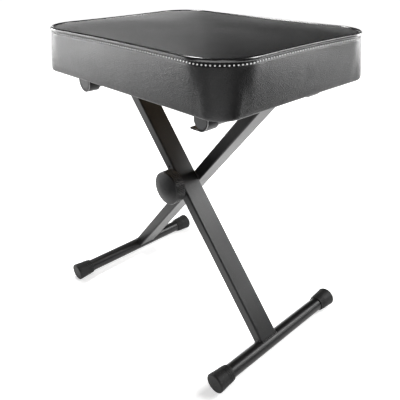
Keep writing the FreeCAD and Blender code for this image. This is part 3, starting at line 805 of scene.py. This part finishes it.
    def stitches(self, paints: Paintbox, cushion: Piece) -> Piece:
        """Makes the row of stitches, as one piece, each on the finished cushion's own side."""
        z = self.seam - self.stitch_drop
        path = self.outline.points(z, -0.15 * MM, self.corner_at(z), self.pull_at(z))
        lengths = [(b - a).length for a, b in zip(path, path[1:] + path[:1])]
        total = sum(lengths)
        count = round(total / self.stitch_pitch)
        bpy.ops.mesh.primitive_uv_sphere_add(segments=8, ring_count=6, radius=1.0)
        pattern = bpy.context.view_layer.objects.active
        long_share, depth, height = self.stitch_half
        pattern.scale = (self.stitch_pitch * long_share, depth, height)
        settle(pattern)
        source = pattern.data
        merged = bmesh.new()
        place, travelled = 0, 0.0
        for number in range(count):
            target = total * number / count
            while travelled + lengths[place] < target:
                travelled += lengths[place]
                place += 1
            start, end = path[place], path[(place + 1) % len(path)]
            along = (end - start).normalized()
            guess = start + along * (target - travelled)
            found, near, outwards, _ = cushion.closest_point_on_mesh(guess)
            position = near + outwards * self.stitch_lift if found else guess
            heading = Matrix.Rotation(math.atan2(along.y, along.x), 4, "Z")
            turn = heading @ Matrix.Rotation(self.stitch_slant, 4, "Y")
            copy = source.copy()
            copy.transform(Matrix.Translation(position) @ turn)
            merged.from_mesh(copy)
            bpy.data.meshes.remove(copy)
        merged.to_mesh(source)
        merged.free()
        pattern.name = source.name = "seat_stitches"
        smoothed(pattern)
        paints.dress(pattern, THREAD)
        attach(pattern, "seat")
        return pattern


# Welds


def middle_of(node: str) -> Vector:
    """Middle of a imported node's box."""
    low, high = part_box(node)
    return (low + high) / 2


def bar_radius(node: str) -> float:
    """Radius of a packed round bar along Y."""
    low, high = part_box(node)
    return (high.z - low.z) / 2


@dataclass
class WeldBead:
    """A rippled bead where a flat-sided leg meets a round bar.

    Attributes:
        name: the piece's name.
        body: the body it rides on.
        leg: the leg's node.
        bar: the bar's node.
        up: direction along the leg, away from the bar.
        half_thick: half the leg's thickness in its plane.
        corner: the leg's corner radius.
        radius: the bead's radius.
        around: points along the leg's sides.
        across: points along its narrow faces.
    """

    name: str
    body: str
    leg: str
    bar: str
    up: Vector
    half_thick: float = 9.5 * MM
    corner: float = 2.5 * MM
    radius: float = 1.7 * MM
    around: int = 26
    across: int = 13

    def ripple(self, number: int) -> float:
        """Thickness factor of the bead at a point's number."""
        return 1.0 + 0.22 * math.sin(number * 2.1) + 0.1 * math.sin(number * 5.3)

    def on_corner(self, u: float, y: float, degrees: float) -> Vector:
        """Point on a corner's arc round (u, y)."""
        turn = math.radians(degrees)
        return Vector((u + self.corner * math.cos(turn), y + self.corner * math.sin(turn)))

    def section(self) -> list[Vector]:
        """Points round the leg's section: (across the leg in its plane, along Y)."""
        low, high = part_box(self.leg)
        half_y = (high.y - low.y) / 2
        flat_u, flat_y = self.half_thick - self.corner, half_y - self.corner
        signs = ((1, 1), (-1, 1), (-1, -1), (1, -1))
        corners = [(flat_u * u, flat_y * y, 90 * n) for n, (u, y) in enumerate(signs)]
        points: list[Vector] = []
        for number, (u, y, start) in enumerate(corners):
            points += [self.on_corner(u, y, start + 30 * step) for step in range(4)]
            target = self.on_corner(*corners[(number + 1) % 4])
            count = self.across if number % 2 == 0 else self.around
            begin = points[-1].copy()
            points += [begin.lerp(target, step / count) for step in range(1, count)]
        return points

    def build(self, paints: Paintbox) -> Piece:
        """Makes the bead."""
        axis = middle_of(self.bar)
        axis.y = middle_of(self.leg).y
        reach = bar_radius(self.bar)
        side = Vector((self.up.z, 0.0, -self.up.x))
        path = []
        for point in self.section():
            rise = math.sqrt(reach**2 - point.x**2)
            path.append(axis + self.up * rise + side * point.x + Vector((0.0, point.y, 0.0)))
        piece = tube_along(path, self.radius, self.name, closed=True, sides=3, swell=self.ripple)
        paints.dress(piece, FINISHES[Slot.LEG])
        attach(piece, self.body)
        return piece


# Rings, and thin lines of painted edge highlight


def arc(axis: Vector, y: float, reach: float, start: float, sweep: float, count: int) -> list[Vector]:
    """Points on an arc round an axis along Y, each the sweep angle after the last."""
    turns = [start + sweep * number for number in range(count)]
    return [Vector((axis.x + reach * math.cos(t), y, axis.z + reach * math.sin(t))) for t in turns]


def hoops(axis: Vector, places: list[tuple[float, float]], radius: float, points: int, name: str) -> Piece:
    """Makes thin rings round an axis along Y, as one piece, from each ring's y and reach."""
    rings = []
    for y, reach in places:
        path = arc(axis, y, reach, 0.0, math.tau / points, points)
        rings.append(tube_along(path, radius, f"{name}_part", closed=True, sides=1))
    return joined(rings, name)


@dataclass
class CapRings:
    """Raised grip rings round a rubber foot cap, near its mouth.

    Attributes:
        cap: the cap's node.
        bar: the foot bar's node.
        body: the body they ride on.
        wall: the cap's wall at its mouth.
        end_round: rounding of the cap's closed end.
        distances: how far each ring is from the mouth.
        radius: the rings' own radius.
        points: points round each ring.
    """

    cap: str
    bar: str
    body: str
    wall: float = 1.95 * MM
    end_round: float = 2.5 * MM
    distances: tuple[float, ...] = (4.5 * MM, 8.0 * MM, 11.5 * MM)
    radius: float = 0.45 * MM
    points: int = 56

    def build(self, paints: Paintbox) -> Piece:
        """Makes the cap's rings, as one piece."""
        axis = middle_of(self.bar)
        low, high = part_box(self.cap)
        near = (low.y + high.y) / 2 < axis.y
        mouth, inwards = (high.y, -1.0) if near else (low.y, 1.0)
        mouth_r = bar_radius(self.bar) + self.wall
        end_r = high.z - axis.z
        taper = (end_r - mouth_r) / (high.y - low.y - self.end_round)
        places = [(mouth + inwards * distance, mouth_r + taper * distance) for distance in self.distances]
        piece = hoops(axis, places, self.radius, self.points, f"{self.cap}_rings")
        paints.dress(piece, FINISHES[Slot.RUBBER])
        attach(piece, self.body)
        return piece


@dataclass
class PlugRimHighlights:
    """Thin light rings round the plugs in a crossbar's two ends: a painted highlight on the tube's end edge.

    Attributes:
        bar: the crossbar's node.
        body: the body they ride on.
        inset: from the bar's outside to the rim's middle.
        radius: the rim's own radius.
        points: points round each rim.
    """

    bar: str
    body: str
    inset: float = 0.9 * MM
    radius: float = 0.6 * MM
    points: int = 48

    def build(self, paints: Paintbox) -> Piece:
        """Makes both rings of painted highlight, as one piece."""
        reach = bar_radius(self.bar) - self.inset
        places = [(corner.y, reach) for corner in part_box(self.bar)]
        piece = hoops(middle_of(self.bar), places, self.radius, self.points, f"{self.bar}_rim_highlights")
        paints.dress(piece, PAINTED_EDGE_HIGHLIGHT)
        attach(piece, self.body)
        return piece


@dataclass
class StrapEdgeHighlights:
    """A light line along both edges of a bent strap: a painted highlight on the strap's edges.

    Attributes:
        strap: the strap's node.
        bar: the crossbar that it goes round.
        radius: the line's radius.
        inset: the line's middle in from the strap's outside.
        wrap: how far it goes round below the bar, in degrees.
        rise: how far it goes up from the bar's middle.
        points: points round the bar.
    """

    strap: str
    bar: str
    radius: float = 0.4 * MM
    inset: float = 0.3 * MM
    wrap: float = 115.0
    rise: float = 8 * MM
    points: int = 26

    def build(self, paints: Paintbox) -> Piece:
        """Makes both lines of painted highlight, as one piece."""
        axis = middle_of(self.bar)
        low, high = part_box(self.strap)
        reach = axis.z - low.z - self.inset
        lines = []
        for y in (low.y + self.inset, high.y - self.inset):
            path = [Vector((axis.x + reach, y, axis.z + self.rise))]
            path += arc(axis, y, reach, 0.0, -math.radians(self.wrap) / (self.points - 1), self.points)
            lines.append(tube_along(path, self.radius, f"{self.strap}_line", closed=False, sides=1))
        piece = joined(lines, f"{self.strap}_edges")
        paints.dress(piece, PAINTED_EDGE_HIGHLIGHT)
        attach(piece, "seat")
        return piece


# Studio


@dataclass
class Softbox:
    """A rectangular lamp aimed at the bench.

    Attributes:
        name: the lamp's name.
        turn: where it stands round the bench, in degrees from +X towards +Y.
        rise: how high it stands over the aim, in degrees.
        distance: its distance from the aim.
        size: its width and height.
        power: its power in watts.
        aim_height: height of the point it is aimed at.
        mirrored: whether glossy surfaces show it.
    """

    name: str
    turn: float
    rise: float
    distance: float
    size: tuple[float, float]
    power: float
    aim_height: float = 0.35
    mirrored: bool = True

    def build(self) -> Piece:
        """Makes the lamp."""
        data = bpy.data.lights.new(self.name, "AREA")
        data.shape = "RECTANGLE"
        data.size, data.size_y = self.size
        data.energy = self.power
        lamp = placed(self.name, data)
        turn, rise = math.radians(self.turn), math.radians(self.rise)
        outwards = Vector((math.cos(turn) * math.cos(rise), math.sin(turn) * math.cos(rise), math.sin(rise)))
        lamp.location = Vector((0.0, 0.0, self.aim_height)) + outwards * self.distance
        lamp.rotation_mode = "QUATERNION"
        lamp.rotation_quaternion = (-outwards).to_track_quat("-Z", "Y")
        lamp.visible_glossy = self.mirrored
        return lamp


@dataclass
class Flag:
    """A dark sector on the floor, with a wall behind it, that only shows in glossy surfaces.

    Attributes:
        name: its name.
        turn: where it starts and ends round the bench, in degrees.
        reach: its nearest and farthest distance.
        height: height of the wall at its far edge.
    """

    name: str
    turn: tuple[float, float]
    reach: tuple[float, float]
    height: float = 0.0

    def build(self) -> Piece:
        """Makes the flag."""
        flag = grid(self.name, 24, 8, 1.0)
        for vertex in flag.data.vertices:
            turn = math.radians(self.turn[0] + (self.turn[1] - self.turn[0]) * (vertex.co.x + 0.5))
            share = vertex.co.y + 0.5
            reach = self.reach[0] + (self.reach[1] - self.reach[0]) * min(1.0, share * 2.0)
            height = 5 * MM + self.height * max(0.0, share * 2.0 - 1.0)
            vertex.co = (math.cos(turn) * reach, math.sin(turn) * reach, height)
        darken(flag)
        return flag


def seen_rays(tree: Tree) -> object:
    """Socket that is 1 for camera, glossy and transmission rays."""
    rays = tree.nodes.new("ShaderNodeLightPath")
    seen = math_node(tree, "MAXIMUM", rays.outputs["Is Camera Ray"], rays.outputs["Is Glossy Ray"])
    return math_node(tree, "MAXIMUM", seen, rays.outputs["Is Transmission Ray"])


def darken(card: Piece) -> None:
    """Makes a card dark and unseen by the camera."""
    card.visible_camera = False
    card.visible_shadow = False
    card.data.materials.append(stage_material(card.name, 0.02, 1.0))


@dataclass
class Studio:
    """White floor, white backdrop, dark ceiling, soft lamps and the camera.

    Attributes:
        lamps: the lamps.
        ambient: world light that reaches the object.
        azimuth: camera's turn round the bench, in degrees.
        elevation: camera's tilt down, in degrees.
        roll: camera's roll, in degrees.
        camera_place: where the camera is.
        lens: its focal length in millimetres.
        shift: its lens shift.
        floor_size: the floor's width.
        floor_glow: how white the floor is by itself round the bench.
        shade_reach: distances from the foot bars over which it becomes fully white.
        shade_back: how much sooner it does so on the bars' -X side.
        ceiling_height: height of the dark ceiling, which keeps the tops of glossy surfaces dark.
        ceiling_size: its width.
        flags: the dark flags, which keep the seat's near corner and the knob's side dark.
    """

    lamps: tuple[Softbox, ...] = (
        Softbox("left_box", 200.0, 6.0, 2.4, (1.1, 0.8), 34.0),
        Softbox("right_box", 74.0, 6.0, 2.4, (1.1, 0.8), 26.0),
        Softbox("back_box", 150.0, 6.0, 2.4, (1.1, 0.8), 2.5),
        Softbox("upper_box", 68.0, 22.0, 2.2, (0.8, 0.6), 7.0),
        Softbox("leg_box", 47.0, 38.0, 2.0, (0.7, 0.6), 22.0),
        Softbox("foot_box", 38.0, 18.0, 2.2, (0.6, 0.4), 6.0),
        Softbox("edge_box", -43.0, 20.0, 2.6, (0.45, 0.3), 5.0),
        Softbox("fill_box", 288.0, 8.0, 2.4, (1.2, 0.9), 30.0, mirrored=False),
        Softbox("shade_box", 170.0, 58.0, 1.8, (0.4, 0.4), 20.0),
    )
    ambient: float = 0.6
    azimuth: float = 47.25
    elevation: float = 30.71
    roll: float = -0.64
    camera_place: tuple[float, float, float] = (0.54054, -0.50062, 0.59676)
    lens: float = 41.3
    shift: tuple[float, float] = (0.005, 0.054)
    floor_size: float = 16.0
    floor_glow: float = 0.42
    shade_reach: tuple[float, float] = (0.03, 0.09)
    shade_back: float = 3.0
    ceiling_height: float = 2.2
    ceiling_size: float = 21.0
    flags: tuple[Flag, ...] = (
        Flag("knob_flag", (212.0, 262.0), (0.42, 0.85)),
        Flag("left_flag", (228.0, 262.0), (0.85, 3.2), 2.2),
        Flag("right_flag", (-15.0, 56.0), (0.6, 3.2), 2.2),
    )

    def build_camera(self) -> Piece:
        """Makes the camera and sets it as the scene's."""
        a, e, r = (math.radians(v) for v in (self.azimuth, self.elevation, self.roll))
        back = Vector((math.sin(a) * math.cos(e), -math.cos(a) * math.cos(e), math.sin(e)))
        right = Vector((math.cos(a), math.sin(a), 0.0))
        up = back.cross(right)
        across = right * math.cos(r) + up * math.sin(r)
        upward = up * math.cos(r) - right * math.sin(r)
        data = bpy.data.cameras.new("camera")
        data.lens = self.lens
        data.sensor_width = 36.0
        data.shift_x, data.shift_y = self.shift
        data.clip_start, data.clip_end = 0.01, 50.0
        camera = placed("camera", data)
        turn = Matrix((across, upward, back)).transposed().to_4x4()
        camera.matrix_world = Matrix.Translation(self.camera_place) @ turn
        bpy.context.scene.camera = camera
        return camera

    def build_world(self) -> None:
        """Makes the world: white where it is seen or mirrored, softer as light."""
        world = bpy.data.worlds.new("studio")
        bpy.context.scene.world = world
        world.use_nodes = True
        tree = world.node_tree
        background = tree.nodes["Background"]
        background.inputs["Color"].default_value = (1.0, 1.0, 1.0, 1.0)
        strength = ranged(tree, seen_rays(tree), 0.0, 1.0, self.ambient, 1.0)
        link(tree, strength, background.inputs["Strength"])

    def build_floor(self) -> Piece:
        """Makes the floor: white to the camera by its own painted glow, which is weaker near the foot bars
        and mostly on their +X side, so the bench's shadow shows only there and is covered elsewhere.
        """
        floor = grid("floor", 4, 4, self.floor_size)
        material = stage_material("floor", 0.8, 0.9)
        tree = material.node_tree
        shader = tree.nodes["Principled BSDF"]
        seen = seen_rays(tree)
        place = tree.nodes.new("ShaderNodeSeparateXYZ")
        link(tree, tree.nodes.new("ShaderNodeTexCoord").outputs["Object"], place.inputs[0])
        low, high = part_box("outer_foot_bar")
        bar_x = (low.x + high.x) / 2
        side = math_node(tree, "SIGN", place.outputs["X"], 0.0)
        across = math_node(tree, "SUBTRACT", place.outputs["X"], math_node(tree, "MULTIPLY", side, bar_x))
        behind = math_node(tree, "MULTIPLY", across, -self.shade_back)
        along = math_node(tree, "SUBTRACT", math_node(tree, "ABSOLUTE", place.outputs["Y"], 0.0), high.y)
        distance = math_node(tree, "MAXIMUM", math_node(tree, "MAXIMUM", across, behind), along)
        # Painted glow: full away from the foot bars, lower close to their +X side, where the shadow is kept.
        away = ranged(tree, distance, self.shade_reach[0], self.shade_reach[1], self.floor_glow, 1.0)
        lift = math_node(tree, "MULTIPLY", seen, away)
        shader.inputs["Emission Color"].default_value = (1.0, 1.0, 1.0, 1.0)
        link(tree, lift, shader.inputs["Emission Strength"])
        floor.data.materials.append(material)
        return floor

    def build(self) -> None:
        """Makes the whole studio."""
        self.build_camera()
        self.build_world()
        self.build_floor()
        darken(grid("ceiling", 2, 2, self.ceiling_size, self.ceiling_height))
        for flag in self.flags:
            flag.build()
        for lamp in self.lamps:
            lamp.build()
        bpy.context.scene.view_settings.view_transform = "Standard"


@dataclass
class Bench:
    """The whole dressed bench."""

    frame: dict
    paints: Paintbox = field(default_factory=Paintbox)

    def seat(self) -> Cushion:
        """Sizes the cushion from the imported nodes."""
        welt_low, welt_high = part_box("seat_piping")
        cover_low, cover_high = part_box("seat_cover")
        reach = 1.5 * MM
        low = Vector((welt_low.x + reach, welt_low.y + reach, 0.0))
        high = Vector((welt_high.x - reach, welt_high.y - reach, 0.0))
        seam = (welt_low.z + welt_high.z) / 2
        return Cushion(SeatOutline(low, high), cover_low.z, seam, cover_high.z)

    def beads(self) -> list[WeldBead]:
        """Lists the four welds."""
        foot = middle_of("inner_foot_bar")
        top = middle_of("inner_crossbar")
        to_right = Vector((top.x - foot.x, 0.0, top.z - foot.z)).normalized()
        to_left = Vector((-to_right.x, 0.0, to_right.z))
        return [
            WeldBead(f"{side}_{end}_weld", f"{side}_leg", f"{side}_leg_tube", f"{side}_{bar}", up)
            for side, away in (("outer", to_left), ("inner", to_right))
            for end, bar, up in (("foot", "foot_bar", away), ("top", "crossbar", -away))
        ]

    def build(self) -> list[Piece]:
        """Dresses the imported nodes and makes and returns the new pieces."""
        self.paints.dress_nodes(self.frame)
        seat = self.seat()
        cushion = seat.build(self.paints)
        pieces = [cushion, seat.welt(self.paints), seat.stitches(self.paints, cushion)]
        pieces += [bead.build(self.paints) for bead in self.beads()]
        # Light lines along the straps' edges: painted highlight.
        for strap, bar in (("saddle", "outer_crossbar"), ("hook", "inner_crossbar")):
            for end in ("near", "far"):
                pieces.append(StrapEdgeHighlights(f"{strap}_{end}", bar).build(self.paints))
        for side in ("outer", "inner"):
            # Light rings round the plugs: painted highlight.
            pieces.append(PlugRimHighlights(f"{side}_crossbar", f"{side}_leg").build(self.paints))
            for end in ("near", "far"):
                rings = CapRings(f"{side}_foot_cap_{end}", f"{side}_foot_bar", f"{side}_leg")
                pieces.append(rings.build(self.paints))
        return pieces


def main() -> None:
    """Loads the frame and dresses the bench."""
    logging.basicConfig(level=logging.INFO, format="%(name)s: %(message)s")
    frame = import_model()
    Studio().build()
    for piece in Bench(frame).build():
        log.info("%s: %d faces", piece.name, len(piece.data.polygons))


if __name__ == "__main__":
    main()
